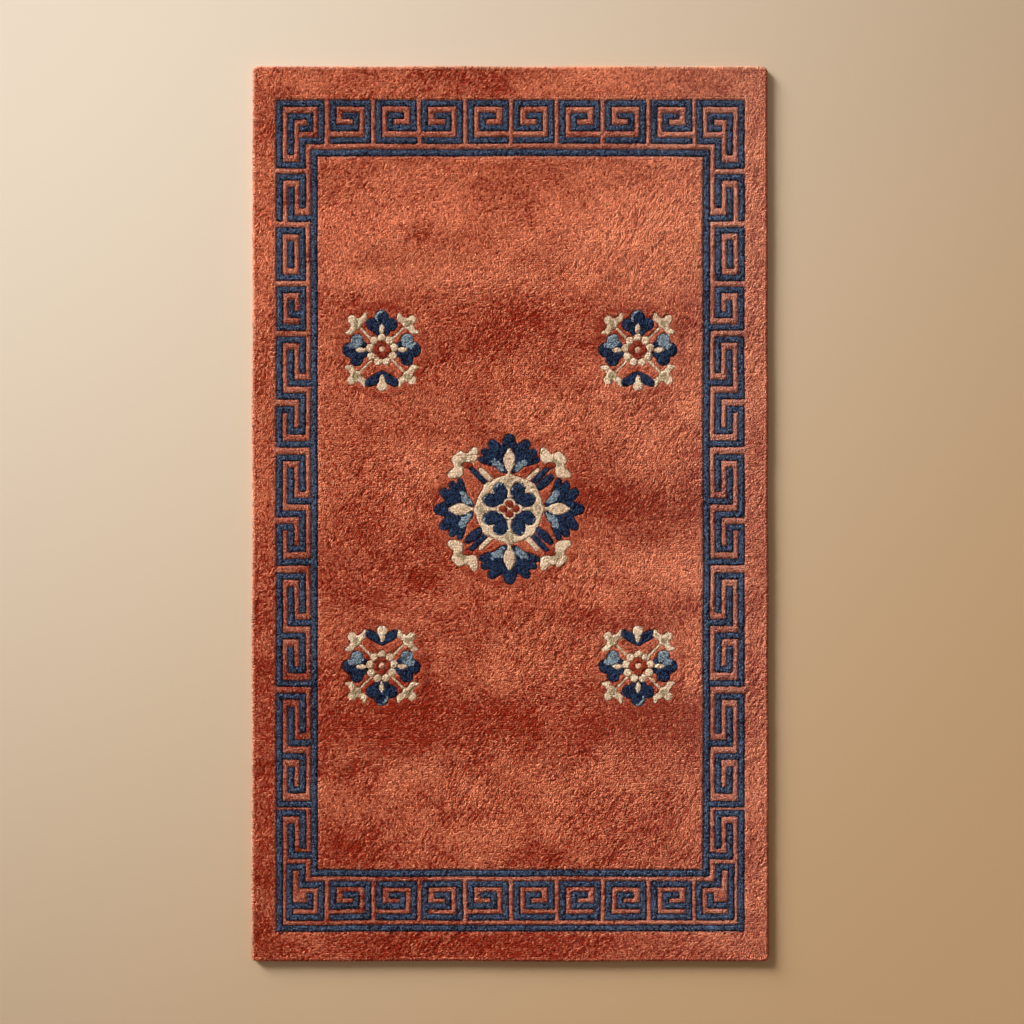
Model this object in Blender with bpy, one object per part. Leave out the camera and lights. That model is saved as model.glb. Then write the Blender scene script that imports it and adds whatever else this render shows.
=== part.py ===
"""A chinese art deco rug: one hand-knotted wool rug with a thick sheared pile, lying flat.

Metres, +Z up. The origin is on the floor under the rug's middle, the length runs
along Y and the width along X. Back, pile and shorn edge are one piece of weaving,
so they are one solid.
"""

import math

import bmesh
import bpy

# Driving dimensions
WIDTH = 0.926
LENGTH = 1.600
BACK = 0.003  # cotton warps and wefts with the knots' loops round them
PILE = 0.011  # wool standing on the back
CORNER_RADIUS = 0.012
TAPER = 0.0025  # how much narrower the rug is at its far end, on each side

# The pile's shorn edge
SHOULDER_REACH = 0.0075  # how far in from the edge the top starts to round over
SHOULDER_DROP = 0.0085  # how far down the rounding goes
SHOULDER_STEPS = 6

# The underside, tucked in below the overhanging pile
BACK_EDGE = (
    # height, inset
    (0.0000, 0.0034),
    (0.0010, 0.0018),
    (BACK, 0.0008),
)

# How far each woven side strays from a straight line
SIDES = (
    # side, segments, waves along it, swing, phase in turns
    ("right", 40, 5, 0.0006, 0.15),
    ("far", 24, 3, 0.0005, 0.40),
    ("left", 40, 4, 0.0008, 0.70),
    ("near", 24, 2, 0.0007, 0.05),
)
CORNER_STEPS = 5

# Wool dyed terracotta
WOOL_COLOUR = (0.42, 0.10, 0.045, 1.0)
WOOL_ROUGHNESS = 0.95

HEIGHT = BACK + PILE


def clear_scene():
    for obj in list(bpy.data.objects):
        bpy.data.objects.remove(obj, do_unlink=True)


def rounded_rectangle(inset):
    """The outline's points and outward directions, anticlockwise from the near right corner."""
    half_width = WIDTH / 2 - inset
    half_length = LENGTH / 2 - inset
    radius = max(CORNER_RADIUS - inset, 0.002)
    straight_x = half_width - radius
    straight_y = half_length - radius
    corners = ((1, -1), (1, 1), (-1, 1), (-1, -1))
    points = []
    for number, (side, segments, waves, swing, phase) in enumerate(SIDES):
        from_x, from_y = corners[number]
        to_x, to_y = corners[(number + 1) % 4]
        heading = math.pi / 2 * number
        out = (math.cos(heading), math.sin(heading))
        for step in range(segments):
            along = step / segments
            stray = swing * math.sin(math.pi * along) * math.sin(
                2 * math.pi * (waves * along + phase)
            )
            x = straight_x * (from_x + (to_x - from_x) * along) + out[0] * (radius + stray)
            y = straight_y * (from_y + (to_y - from_y) * along) + out[1] * (radius + stray)
            points.append((x, y))
        for step in range(CORNER_STEPS):
            turn = heading + math.pi / 2 * step / CORNER_STEPS
            x = straight_x * to_x + radius * math.cos(turn)
            y = straight_y * to_y + radius * math.sin(turn)
            points.append((x, y))
    return points


def tapered(points):
    """The far end drawn in a little, as the weaver's sides pull in towards the finish."""
    drawn = []
    for x, y in points:
        far = y / LENGTH + 0.5
        drawn.append((x * (1 - TAPER * far / (WIDTH / 2)), y))
    return drawn


def fitted(points, reference):
    """The points moved and scaled so that the reference outline fills the stated size."""
    low_x = min(x for x, y in reference)
    high_x = max(x for x, y in reference)
    low_y = min(y for x, y in reference)
    high_y = max(y for x, y in reference)
    scale_x = WIDTH / (high_x - low_x)
    scale_y = LENGTH / (high_y - low_y)
    return [
        (
            (x - (low_x + high_x) / 2) * scale_x,
            (y - (low_y + high_y) / 2) * scale_y,
        )
        for x, y in points
    ]


def edge_profile():
    """Heights and insets from the underside, over the overhanging pile, to the shorn top."""
    profile = list(BACK_EDGE)
    for step in range(SHOULDER_STEPS + 1):
        turn = math.pi / 2 * step / SHOULDER_STEPS
        height = HEIGHT - SHOULDER_DROP * (1 - math.sin(turn))
        inset = SHOULDER_REACH * (1 - math.cos(turn))
        profile.append((height, inset))
    return profile


def build_rug():
    """The whole rug: rings of the outline stacked up the edge profile, closed above and below."""
    mesh = bpy.data.meshes.new("rug")
    shape = bmesh.new()
    reference = tapered(rounded_rectangle(0.0))
    rings = []
    for height, inset in edge_profile():
        outline = fitted(tapered(rounded_rectangle(inset)), reference)
        rings.append([shape.verts.new((x, y, height)) for x, y in outline])
    count = len(rings[0])
    for lower, upper in zip(rings, rings[1:]):
        for i in range(count):
            j = (i + 1) % count
            shape.faces.new((lower[i], lower[j], upper[j], upper[i]))
    shape.faces.new(rings[-1])
    shape.faces.new(list(reversed(rings[0])))
    shape.normal_update()
    shape.to_mesh(mesh)
    shape.free()
    mesh.shade_smooth()
    mesh.set_sharp_from_angle(angle=math.radians(40))
    rug = bpy.data.objects.new("rug", mesh)
    bpy.context.scene.collection.objects.link(rug)
    return rug


def wool_material():
    wool = bpy.data.materials.new("terracotta_wool")
    wool.use_nodes = True
    shader = wool.node_tree.nodes["Principled BSDF"]
    shader.inputs["Base Color"].default_value = WOOL_COLOUR
    shader.inputs["Roughness"].default_value = WOOL_ROUGHNESS
    shader.inputs["Metallic"].default_value = 0.0
    return wool


def main():
    clear_scene()
    rug = build_rug()
    rug.data.materials.append(wool_material())


main()
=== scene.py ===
# %% [markdown]
# # A carved Chinese rug, laid down knot by knot
#
# The real rug is one piece of weaving. Cotton warps are strung on a loom, a row of wool knots is
# tied across them, a weft is beaten down on the row, and so on for a metre and a half. The ends of
# the knots stand up as pile. At the end the pile is shorn level and a carver clips a groove along
# every outline of the pattern, so that each line and petal stands up rounded, like a cushion.
#
# This file goes the same way: first the pattern is charted as plain shapes, then every knot asks
# the chart for its yarn and its height, and then Geometry Nodes stands a tuft of wool on each.

# %% Load the frame
import math

import bpy
import numpy as np
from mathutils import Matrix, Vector


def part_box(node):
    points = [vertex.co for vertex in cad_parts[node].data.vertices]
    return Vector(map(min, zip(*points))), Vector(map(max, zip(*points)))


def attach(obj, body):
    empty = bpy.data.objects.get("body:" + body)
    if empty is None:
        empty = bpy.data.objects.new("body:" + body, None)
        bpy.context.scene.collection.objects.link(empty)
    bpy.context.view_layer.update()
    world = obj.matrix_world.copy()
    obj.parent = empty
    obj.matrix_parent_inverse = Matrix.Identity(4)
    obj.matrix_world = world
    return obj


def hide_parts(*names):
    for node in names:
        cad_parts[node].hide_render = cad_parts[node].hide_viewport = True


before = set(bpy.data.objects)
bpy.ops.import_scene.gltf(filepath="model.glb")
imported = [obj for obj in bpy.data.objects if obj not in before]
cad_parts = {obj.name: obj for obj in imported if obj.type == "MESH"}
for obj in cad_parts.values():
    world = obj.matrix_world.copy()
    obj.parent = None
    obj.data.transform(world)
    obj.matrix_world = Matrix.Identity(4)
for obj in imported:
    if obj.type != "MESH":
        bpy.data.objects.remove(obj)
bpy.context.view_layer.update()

low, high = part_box("rug")
WIDTH = high.x - low.x
LENGTH = high.y - low.y
HEIGHT = high.z - low.z
print(f"rug {WIDTH:.3f} m by {LENGTH:.3f} m, {HEIGHT * 1000:.0f} mm thick")

# %% [markdown]
# ## The outline of the weaving
#
# The solid in the frame holds the real outline, with its slightly wandering sides. Its widest ring
# of points is read here, so that the wool can stop exactly where the solid does. Four curves, one
# for each side, answer how far a point lies from the edge without looking at every segment.

# %% Read the outline
solid_points = np.array([v.co[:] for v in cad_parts["rug"].data.vertices])
BELLY = float(solid_points[solid_points[:, 0].argmax(), 2])
ring = solid_points[np.abs(solid_points[:, 2] - BELLY) < 1e-5][:, :2]
top_edge = solid_points[solid_points[:, 2] > HEIGHT - 1e-5]
REACH = float(WIDTH / 2 - top_edge[:, 0].max())
DROP = HEIGHT - BELLY
CORNER = 0.012


def side_curve(along, out, sign):
    """Where one side runs, as places along it and how far out it is there."""
    half = (WIDTH, LENGTH)[along] / 2
    on_side = (ring[:, out] * sign > 0) & (np.abs(ring[:, along]) < half - CORNER * 0.99)
    far = np.abs(ring[:, out]) > (WIDTH, LENGTH)[out] / 2 - CORNER
    found = ring[on_side & far]
    found = found[found[:, along].argsort()]
    return found[:, along], found[:, out]


RIGHT = side_curve(1, 0, 1)
LEFT = side_curve(1, 0, -1)
FAR = side_curve(0, 1, 1)
NEAR = side_curve(0, 1, -1)


def edge_distance(x, y):
    """How far inside the rug's edge each point lies."""
    across = np.minimum(np.interp(y, *RIGHT) - x, x - np.interp(y, *LEFT))
    along = np.minimum(np.interp(x, *FAR) - y, y - np.interp(x, *NEAR))
    corner = CORNER - np.hypot(CORNER - across, CORNER - along)
    in_corner = (across < CORNER) & (along < CORNER)
    return np.where(in_corner, corner, np.minimum(across, along))


print(f"the pile's top starts to round over {REACH * 1000:.1f} mm in, and drops {DROP * 1000:.1f} mm")

# %% [markdown]
# ## Hand-made unevenness
#
# Nothing on a hand-knotted rug is quite straight or quite even. One helper gives all of it: random
# numbers on a coarse net, blended smoothly between its knots. The net's two cell sizes set how
# long and how wide the wander is, and the seed keeps it the same on every run.


# %% A soft wander
def wander(x, y, cell_x, cell_y, seed):
    """A smooth random surface between -1 and 1, with features of the given sizes."""
    columns = (np.asarray(x) + WIDTH) / cell_x
    rows = (np.asarray(y) + LENGTH) / cell_y
    shape = (int(2 * LENGTH / cell_y) + 3, int(2 * WIDTH / cell_x) + 3)
    net = np.random.default_rng(seed).uniform(-1, 1, shape)
    i, j = rows.astype(int), columns.astype(int)
    v, u = rows - i, columns - j
    u, v = u * u * (3 - 2 * u), v * v * (3 - 2 * v)
    near = net[i, j] * (1 - u) + net[i, j + 1] * u
    far = net[i + 1, j] * (1 - u) + net[i + 1, j + 1] * u
    return near * (1 - v) + far * v


def soft_step(value, start, end):
    """0 before start, 1 after end, and smooth between."""
    t = np.clip((value - start) / (end - start), 0, 1)
    return t * t * (3 - 2 * t)


sample = wander(np.zeros(5), np.linspace(0, 0.1, 5), 0.05, 0.05, 1)
print("a wander along ten centimetres:", sample.round(2))

# %% [markdown]
# ## The yarns
#
# Each dyed wool is given as two linear colours: the one deep in the pile, where the light barely
# reaches and the dye looks full, which serves as painted shade, and the one at the shorn tips,
# which is paler and dustier. Carving opens the pile, so the deep colour is painted along every
# outline as painted shade in the groove. Three numbers say how far a knot goes from the first
# colour to the second: how pale the yarn is in the middle, how much more the brushed nap makes it
# by painted light and shade, and how uneven it is from knot to knot.

# %% Dye the yarns
YARNS = (
    # name, deep (painted shade), at the tips, paleness, share of the nap's painted light, unevenness
    ("terracotta", (0.315, 0.027, 0.010), (0.925, 0.338, 0.184), 0.42, 0.34, 0.20),
    ("fret blue", (0.010, 0.011, 0.027), (0.112, 0.162, 0.272), 0.52, 0.12, 0.32),
    ("navy", (0.004, 0.005, 0.015), (0.036, 0.066, 0.148), 0.52, 0.12, 0.45),
    ("pale blue", (0.065, 0.100, 0.150), (0.325, 0.405, 0.470), 0.70, 0.12, 0.45),
    ("cream", (0.490, 0.285, 0.155), (0.970, 0.800, 0.610), 0.70, 0.12, 0.26),
    ("taupe", (0.260, 0.180, 0.095), (0.560, 0.460, 0.290), 0.70, 0.12, 0.26),
    ("dark red", (0.160, 0.016, 0.008), (0.400, 0.062, 0.032), 0.70, 0.12, 0.26),
    ("blush", (0.560, 0.250, 0.165), (0.980, 0.640, 0.460), 0.70, 0.12, 0.26),
)
NAMES, DEEP_IN_SHADE, TIPS, PALENESS, NAP_LIGHT_SHARE, UNEVENNESS = [np.array(row) for row in zip(*YARNS)]
YARN = {str(name): number for number, name in enumerate(NAMES)}
print(len(YARNS), "yarns:", ", ".join(YARN))

# %% [markdown]
# ## Shapes to draw with
#
# A pattern drawn as distance formulas has no resolution of its own. Each helper below returns a
# function that says how far a point is from the shape's outline, negative inside. The sign picks
# the yarn and the distance itself tells the carver how close the groove is. Shapes are given in
# millimetres, as they would be on the chart, and read in metres.

# %% Distances to simple shapes
MM = 0.001


def disc(cx, cy, radius):
    return lambda x, y: np.hypot(x - cx * MM, y - cy * MM) - radius * MM


def oval(cx, cy, half_length, half_width, turn=0.0):
    """An ellipse whose long axis is turned anticlockwise from +X, in degrees."""
    c, s = math.cos(math.radians(turn)), math.sin(math.radians(turn))
    cx, cy, half_length, half_width = cx * MM, cy * MM, half_length * MM, half_width * MM

    def far(x, y):
        u = ((x - cx) * c + (y - cy) * s) / half_length
        v = ((y - cy) * c - (x - cx) * s) / half_width
        return (np.hypot(u, v) - 1) * min(half_length, half_width)

    return far


def bar(x0, y0, x1, y1, half_width, fullness=1.0):
    """A stroke from point to point: round-ended at fullness 0, pointed like a leaf towards 1."""
    x0, y0, x1, y1, half_width = x0 * MM, y0 * MM, x1 * MM, y1 * MM, half_width * MM
    length = math.hypot(x1 - x0, y1 - y0)
    c, s = (x1 - x0) / length, (y1 - y0) / length

    def far(x, y):
        u = (x - x0) * c + (y - y0) * s
        v = (y - y0) * c - (x - x0) * s
        t = np.clip(u / length, 0, 1)
        width = half_width * (1 - fullness * (2 * t - 1) ** 2)
        return np.hypot(u - t * length, v) - width

    return far


def joined(*shapes):
    return lambda x, y: np.minimum.reduce([shape(x, y) for shape in shapes])


def both(*shapes):
    return lambda x, y: np.maximum.reduce([shape(x, y) for shape in shapes])


def outside(shape):
    return lambda x, y: -shape(x, y)


# %% Turn, mirror and measure a shape
def turned(shape, degrees):
    c, s = math.cos(math.radians(degrees)), math.sin(math.radians(degrees))
    return lambda x, y: shape(x * c + y * s, y * c - x * s)


def mirrored(shape):
    """The shape and its mirror image across the Y axis."""
    return lambda x, y: shape(np.abs(x), y)


def reach(shape):
    """How far the shape goes along +Y, in millimetres."""
    y = np.arange(200) * MM
    return int(np.flatnonzero(shape(np.zeros(200), y) < 0).max())


print("a disc of 12.5 mm round a point at 30 mm reaches", reach(disc(0, 30, 12.5)), "mm")

# %% [markdown]
# ## The key fret
#
# A key fret is drawn on a squared chart: lines and gaps of one width, turning in on themselves.
# Along the two ends the weaver repeats one spiral eight times, turning it left and right by
# turns, and at the sides a few different scrolls are hooked on to the inner guard line. Every
# stroke here is a list of corners on that chart, so a line's width and the two steps of the chart
# are the only sizes.

# %% Measure the fret
LINE = 11.8 * MM
FIRST_LINE = 5.2 * MM
STEP = 20.6 * MM
FAR_STEP = 22.0 * MM
NEAR_STEP = 19.6 * MM
FRET_SIDE = 416.4 * MM
FRET_SHIFT = 0.9 * MM
FRET_FAR = 736.2 * MM
FRET_NEAR = -743.2 * MM
GUARD_LINE = 12.4 * MM
UNIT_PITCH = 81.7 * MM
FIRST_UNIT = 95.6 * MM
OUTER, INNER, FIELD, GUARD = 0, 1, 2, 3


def column(number):
    """A line's middle, counted in steps from the fret's outer side."""
    return FIRST_LINE + number * STEP


def far_row(number):
    return FRET_FAR - FIRST_LINE - number * FAR_STEP


def near_row(number):
    return FRET_NEAR + FIRST_LINE + number * NEAR_STEP


print(f"a fret line is {LINE / MM:.1f} mm wide, and the next one is {STEP / MM:.1f} mm further in")


# %% Chart the spirals of the two ends
SPIRAL = ((0, 3), (3, 3), (3, 0), (0, 0), (0, 2), (2, 2), (2, 1), (1.1, 1))


def spiral(unit, flipped, row_of):
    """One unit of an end's fret, as corners in metres."""
    start = -FRET_SIDE + FIRST_UNIT + unit * UNIT_PITCH
    return [(start + column(3 - u if flipped else u), row_of(v)) for u, v in SPIRAL]


def end_spirals():
    strokes = []
    for unit in range(8):
        strokes.append(spiral(unit, unit % 2 == 1, far_row))
        strokes.append(spiral(unit, unit > 3, lambda row: near_row(4 - row)))
        if unit in (2, 5, 6, 7):
            x = strokes[-1][3][0]
            strokes.append([(x, near_row(2)), (x, near_row(1))])
    return strokes


print(len(end_spirals()), "strokes along the two ends")

# %% Chart the corner loops
FAR_CORNER = (
    # steps in from the side, steps in from the far end
    ((0, 0), (0, 5.02), (2, 5.02), (2, 3.03), (3.61, 3.03), (3.61, 0), (0, 0)),
    ((1, 3.95), (1, 1.04), (2.63, 1.04), (2.63, 2.04), (1.96, 2.04)),
)
NEAR_CORNER = (
    ((0.85, 5.55), (0.85, 1), (3.61, 1), (3.61, 3.95), (1.95, 3.95), (1.95, 5.55), (0.85, 5.55)),
    ((0.85, 2.05), (2.63, 2.05), (2.63, 2.9)),
)


def corner_loops(side):
    strokes = []
    for chart, row_of in ((FAR_CORNER, far_row), (NEAR_CORNER, near_row)):
        for stroke in chart:
            strokes.append([(side * (FRET_SIDE - column(u)), row_of(v)) for u, v in stroke])
    return strokes


print(len(corner_loops(1)), "strokes in the two corners of a side")


# %% Chart the scrolls of the two sides
HOOK = (
    ((OUTER, 73.1), (OUTER, 0), (FIELD, 0), (FIELD, 49.0)),
    ((INNER, 23.1), (INNER, 73.3), (GUARD, 73.3)),
)
RING = (
    ((OUTER, 0), (FIELD, 0), (FIELD, 83.8), (OUTER, 83.8), (OUTER, 0)),
    ((INNER, 22.7), (INNER, 61.5)),
)
LEFT_SQUARE = (
    ((OUTER, 0), (FIELD, 0), (FIELD, 66.2), (OUTER, 66.2), (OUTER, 0)),
    ((INNER, 23.6), (INNER, 43.8), (FIELD, 43.8)),
)
RIGHT_SQUARE = (
    (
        (GUARD, 66.2), (OUTER, 66.2), (OUTER, 0), (FIELD, 0),
        (FIELD, 44.0), (INNER, 44.0), (INNER, 24.3),
    ),
)
SCROLL = (
    (
        (FIELD, 54.5), (FIELD, 0), (OUTER, 0), (OUTER, 100.8), (FIELD, 100.8), (FIELD, 162.8),
        (INNER, 162.8), (INNER, 124.3), (OUTER, 124.3), (OUTER, 186.0), (GUARD, 186.0),
    ),
    ((INNER, 23.2), (INNER, 77.5), (GUARD, 77.5)),
)
LONG_SCROLL = (
    ((FIELD, 60.0), (FIELD, 0), (OUTER, 0), (OUTER, 191.4), (GUARD, 191.4)),
    ((OUTER, 106.3), (FIELD, 106.3), (FIELD, 166.2), (INNER, 166.2), (INNER, 130.2)),
    ((INNER, 23.9), (INNER, 83.0), (GUARD, 83.0)),
)
TAIL = (
    ((FIELD, 57.7), (FIELD, 0), (OUTER, 0), (OUTER, 205.4)),
    ((INNER, 24.1), (INNER, 76.0), (GUARD, 76.0)),
)
SIDE_SCROLLS = (
    # from the far end of the fret to the scroll's first line in mm, left scroll, right scroll
    (136.7, HOOK, HOOK),
    (231.9, RING, RING),
    (337.7, LEFT_SQUARE, RIGHT_SQUARE),
    (425.8, SCROLL, SCROLL),
    (636.2, SCROLL, SCROLL),
    (847.1, LONG_SCROLL, LONG_SCROLL),
    (1061.8, LONG_SCROLL, LONG_SCROLL),
    (1269.4, TAIL, TAIL),
)


def side_scrolls(side):
    strokes = []
    for start, left, right in SIDE_SCROLLS:
        for stroke in left if side < 0 else right:
            strokes.append(
                [
                    (side * (FRET_SIDE - column(place)), FRET_FAR - (start + down) * MM)
                    for place, down in stroke
                ]
            )
    return strokes


print(len(side_scrolls(-1)), "strokes along the left side,", len(side_scrolls(1)), "along the right")


# %% Lay the strokes out as straight bars
def bars_of(strokes, half_width):
    """Each straight run as left, right, near and far, squared off at its ends."""
    bars = []
    for stroke in strokes:
        for (x0, y0), (x1, y1) in zip(stroke, stroke[1:]):
            bars.append(
                (
                    min(x0, x1) - half_width, max(x0, x1) + half_width,
                    min(y0, y1) - half_width, max(y0, y1) + half_width,
                )
            )
    return bars


def fret_bars():
    guard_x = FRET_SIDE - column(GUARD)
    guard_far, guard_near = far_row(4), near_row(5)
    guard = [(-guard_x, guard_near), (-guard_x, guard_far), (guard_x, guard_far)]
    guard += [(guard_x, guard_near), (-guard_x, guard_near)]
    rail = FRET_SIDE - column(OUTER)
    strokes = end_spirals() + [[(-rail, near_row(0)), (rail, near_row(0))]]
    for side in (-1, 1):
        strokes += corner_loops(side) + side_scrolls(side)
    return np.array(bars_of(strokes, LINE / 2) + bars_of([guard], GUARD_LINE / 2))


FRET = fret_bars()
FRET_ROUNDING = 2.2 * MM


def fret_distance(x, y):
    """How far each point is from the outline of the key fret, negative inside it."""
    nearest = np.full(np.shape(x), 1.0)
    for left, right, near, far in FRET:
        dx = np.abs(x - (left + right) / 2) - (right - left) / 2 + FRET_ROUNDING
        dy = np.abs(y - (near + far) / 2) - (far - near) / 2 + FRET_ROUNDING
        outside = np.hypot(np.maximum(dx, 0), np.maximum(dy, 0))
        this = outside + np.minimum(np.maximum(dx, dy), 0) - FRET_ROUNDING
        nearest = np.minimum(nearest, this)
    return nearest


print(len(FRET), "straight bars in the fret")

# %% [markdown]
# ## The medallions
#
# The middle flower is a lobed cream disc with four navy hearts, four scalloped palmettes on the
# axes and four trefoils on the diagonals. The four small flowers are the same idea at half the
# size. Each is a stack of shapes: a later one covers an earlier one, as a weaver's chart would be
# coloured in. Shading yarns are laid in without a carved outline.

# %% Draw the palmette and the bud on it
def palmette():
    """A navy fan of lobes over a narrow foot, pointing along +Y."""
    lobes = [
        # from x, y to x, y and half-width in mm
        (0, 90, 0, 124, 14.5),
        (10, 92, 30, 116, 11.5),
        (14, 86, 43, 101, 10.0),
        (14, 80, 50, 88, 7.5),
        (8, 68, 26, 84, 7.0),
    ]
    shapes = [oval(0, 93, 30, 18)]
    for lobe in lobes:
        shapes.append(bar(*lobe, 0.3))
    return mirrored(joined(*shapes))


def bud():
    """A cream spindle standing on the disc, with its neck."""
    body = bar(0, 69, 0, 105, 11.0, 0.66)
    neck = bar(0, 56, 0, 70, 3.2, 0.0)
    return joined(body, neck)


print("the palmette reaches", reach(palmette()), "mm and its bud", reach(bud()), "mm")


# %% Draw what stands on the diagonals
def heart():
    """A heart with its point at the middle, along the +X +Y diagonal."""
    first = oval(15.8, 32.5, 15.0, 12.0, 66)
    second = oval(32.5, 15.8, 15.0, 12.0, 24)
    return joined(first, second, disc(15, 15, 12.5))


def trefoil():
    """Three cream lobes at the corner, along +Y."""
    lobes = [
        # x, y, radius in mm: the head, the middle, then an arm that narrows to its tip
        (4, 128, 9.5),
        (7, 119, 10.5),
        (18, 112, 10.5),
        (24, 114, 9.0),
        (27, 115, 7.6),
        (30, 117, 6.4),
    ]
    return mirrored(joined(*[disc(*lobe) for lobe in lobes]))


def leaves(side):
    """The leaves between disc and trefoil, along +Y: a short and a long dark one and a cream one."""
    short_leaf = bar(-side * 10, 62, -side * 12, 93, 7.6, 0.3)
    long_leaf = bar(side * 2.5, 56, side * 3.5, 104, 5.0, 0.15)
    cream_leaf = bar(side * 13.5, 56, side * 13.5, 85, 4.7, 0.1)
    tip = bar(side * 6, 104, -side * 1, 111, 5.4, 0.2)
    return short_leaf, long_leaf, cream_leaf, tip


print("the heart reaches", reach(turned(heart(), 45)), "mm and the trefoil", reach(trefoil()), "mm")


# %% Put the middle medallion together
CARVED, SHADED = True, False


def middle_medallion():
    layers = []
    for quarter in range(4):
        on_axis, on_diagonal = 90 * quarter, 90 * quarter + 45
        layers.append(("navy", turned(palmette(), on_axis), CARVED))
        shade = mirrored(bar(12, 70, 29, 85, 7.8, 0.5))
        shade = both(shade, palmette())
        layers.append(("pale blue", turned(shade, on_axis), SHADED))
        short_leaf, long_leaf, cream_leaf, tip = leaves(-1 if quarter % 2 else 1)
        if quarter:
            layers.append(("navy", turned(short_leaf, on_diagonal), CARVED))
        layers.append(("cream", turned(cream_leaf, on_diagonal), CARVED))
        layers.append(("cream", turned(trefoil(), on_diagonal), CARVED))
        layers.append(("taupe", turned(mirrored(disc(5, 118, 5)), on_diagonal), SHADED))
        layers.append(("navy", turned(long_leaf, on_diagonal), CARVED))
        layers.append(("dark red", turned(tip, on_diagonal), CARVED))
        layers.append(("cream", turned(bud(), on_axis), CARVED))
    scallops = [turned(disc(0, 50, 13.0), 45 * number) for number in range(8)]
    layers.append(("cream", joined(disc(0, 0, 60), *scallops), CARVED))
    speckle = joined(*[turned(oval(0, 46, 13, 10), 90 * n) for n in range(4)])
    stipple = both(speckle, lambda x, y: MM * wander(x, y, 2.6 * MM, 2.6 * MM, 61))
    layers.append(("taupe", stipple, SHADED))
    for quarter in range(4):
        layers.append(("pale blue", turned(heart(), 90 * quarter), CARVED))
        inner = both(heart(), disc(0, 0, 47.5))
        layers.append(("navy", turned(inner, 90 * quarter), SHADED))
    petals = joined(*[turned(disc(0, 12, 11.0), 90 * number) for number in range(4)])
    centres = joined(*[turned(disc(0, 11, 7.2), 90 * number) for number in range(4)])
    layers.append(("cream", lambda x, y: petals(x, 1.2 * y), CARVED))
    layers.append(("dark red", lambda x, y: centres(x, 1.2 * y), CARVED))
    layers.append(("cream", disc(0, 0, 3.2), CARVED))
    return layers


print(len(middle_medallion()), "shapes in the middle medallion")

# %% Draw the petals and the corner flower of the small medallions
def small_petal():
    """A navy petal of three round lobes, pointing along +Y."""
    middle = disc(0, 57, 13.0)
    sides = disc(17, 45, 11.5)
    base = bar(0, 24, 0, 52, 17.0, 0.55)
    return mirrored(joined(middle, sides, base))


def split_petal():
    """The petal that faces the middle of the rug: two arms spread like a roof."""
    return mirrored(bar(0, 45, 22, 58, 8.4, 0.1))


def star_flower():
    """A small cream flower at the corner with a round head and two flared arms, along +Y."""
    core = disc(0, 66, 10.0)
    head = disc(0, 76, 8.0)
    arms = bar(4, 65, 17, 62, 6.0, 0.1)
    flare = bar(15, 61, 24, 67, 4.4, 0.5)
    return mirrored(joined(core, head, arms, flare))


print("a small petal reaches", reach(small_petal()), "mm, the corner flower", reach(star_flower()), "mm")


# %% Put a small medallion together
def small_medallion(facing):
    """facing is the quarter turn at which the split petal lies."""
    layers = []
    for quarter in range(4):
        on_axis, on_diagonal = 90 * quarter, 90 * quarter + 45
        stem = bar(0, 26, 0, 60, 2.3, 0.0)
        layers.append(("cream", turned(stem, on_diagonal), CARVED))
        layers.append(("cream", turned(star_flower(), on_diagonal), CARVED))
        layers.append(("taupe", turned(disc(0, 66, 6.5), on_diagonal), SHADED))
        if quarter == facing:
            layers.append(("navy", turned(split_petal(), on_axis), CARVED))
            drop = joined(disc(0, 64, 9.4), bar(0, 46, 0, 64, 5.5, 0.5))
            layers.append(("cream", turned(drop, on_axis), CARVED))
            continue
        layers.append(("navy", turned(small_petal(), on_axis), CARVED))
        if quarter in (1, 3):
            # The upper half of a side petal, and its outer rim, are in the paler blue.
            upward = -1 if quarter == 1 else 1
            pale = oval(-upward * 15, 47, 15, 12, 60 * upward)
        else:
            pale = both(disc(0, 60, 14), outside(disc(5, 54, 13)))
        layers.append(("pale blue", turned(both(pale, small_petal()), on_axis), SHADED))
        tongue = bar(0, 28, 0, 46, 5.0, 0.75)
        layers.append(("cream", turned(tongue, on_axis), CARVED))
    blobs = [turned(disc(0, 22, 7.4), 40 * number) for number in range(9)]
    layers.append(("cream", joined(*blobs), CARVED))
    petals = [turned(disc(0, 9, 7.6), 90 * number) for number in range(4)]
    layers.append(("dark red", joined(*petals), CARVED))
    layers.append(("blush", disc(0, 1, 5.8), CARVED))
    return layers


print(len(small_medallion(0)), "shapes in a small medallion")

# %% Place the five medallions
MEDALLIONS = (
    # x, y, radius, layers
    (-1 * MM, 8 * MM, 138 * MM, middle_medallion()),
    (-228 * MM, 292 * MM, 84 * MM, small_medallion(2)),
    (228 * MM, 292 * MM, 84 * MM, small_medallion(2)),
    (-228 * MM, -272 * MM, 84 * MM, small_medallion(0)),
    (228 * MM, -272 * MM, 84 * MM, small_medallion(0)),
)
print(len(MEDALLIONS), "medallions, of", [len(layers) for x, y, radius, layers in MEDALLIONS], "shapes")

# %% [markdown]
# ## Reading the chart
#
# A knot asks two things: which yarn am I, and how far is the nearest carved outline. The chart is
# pulled about by a millimetre or so before it is read, as a weaver's own lines wander.


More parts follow.
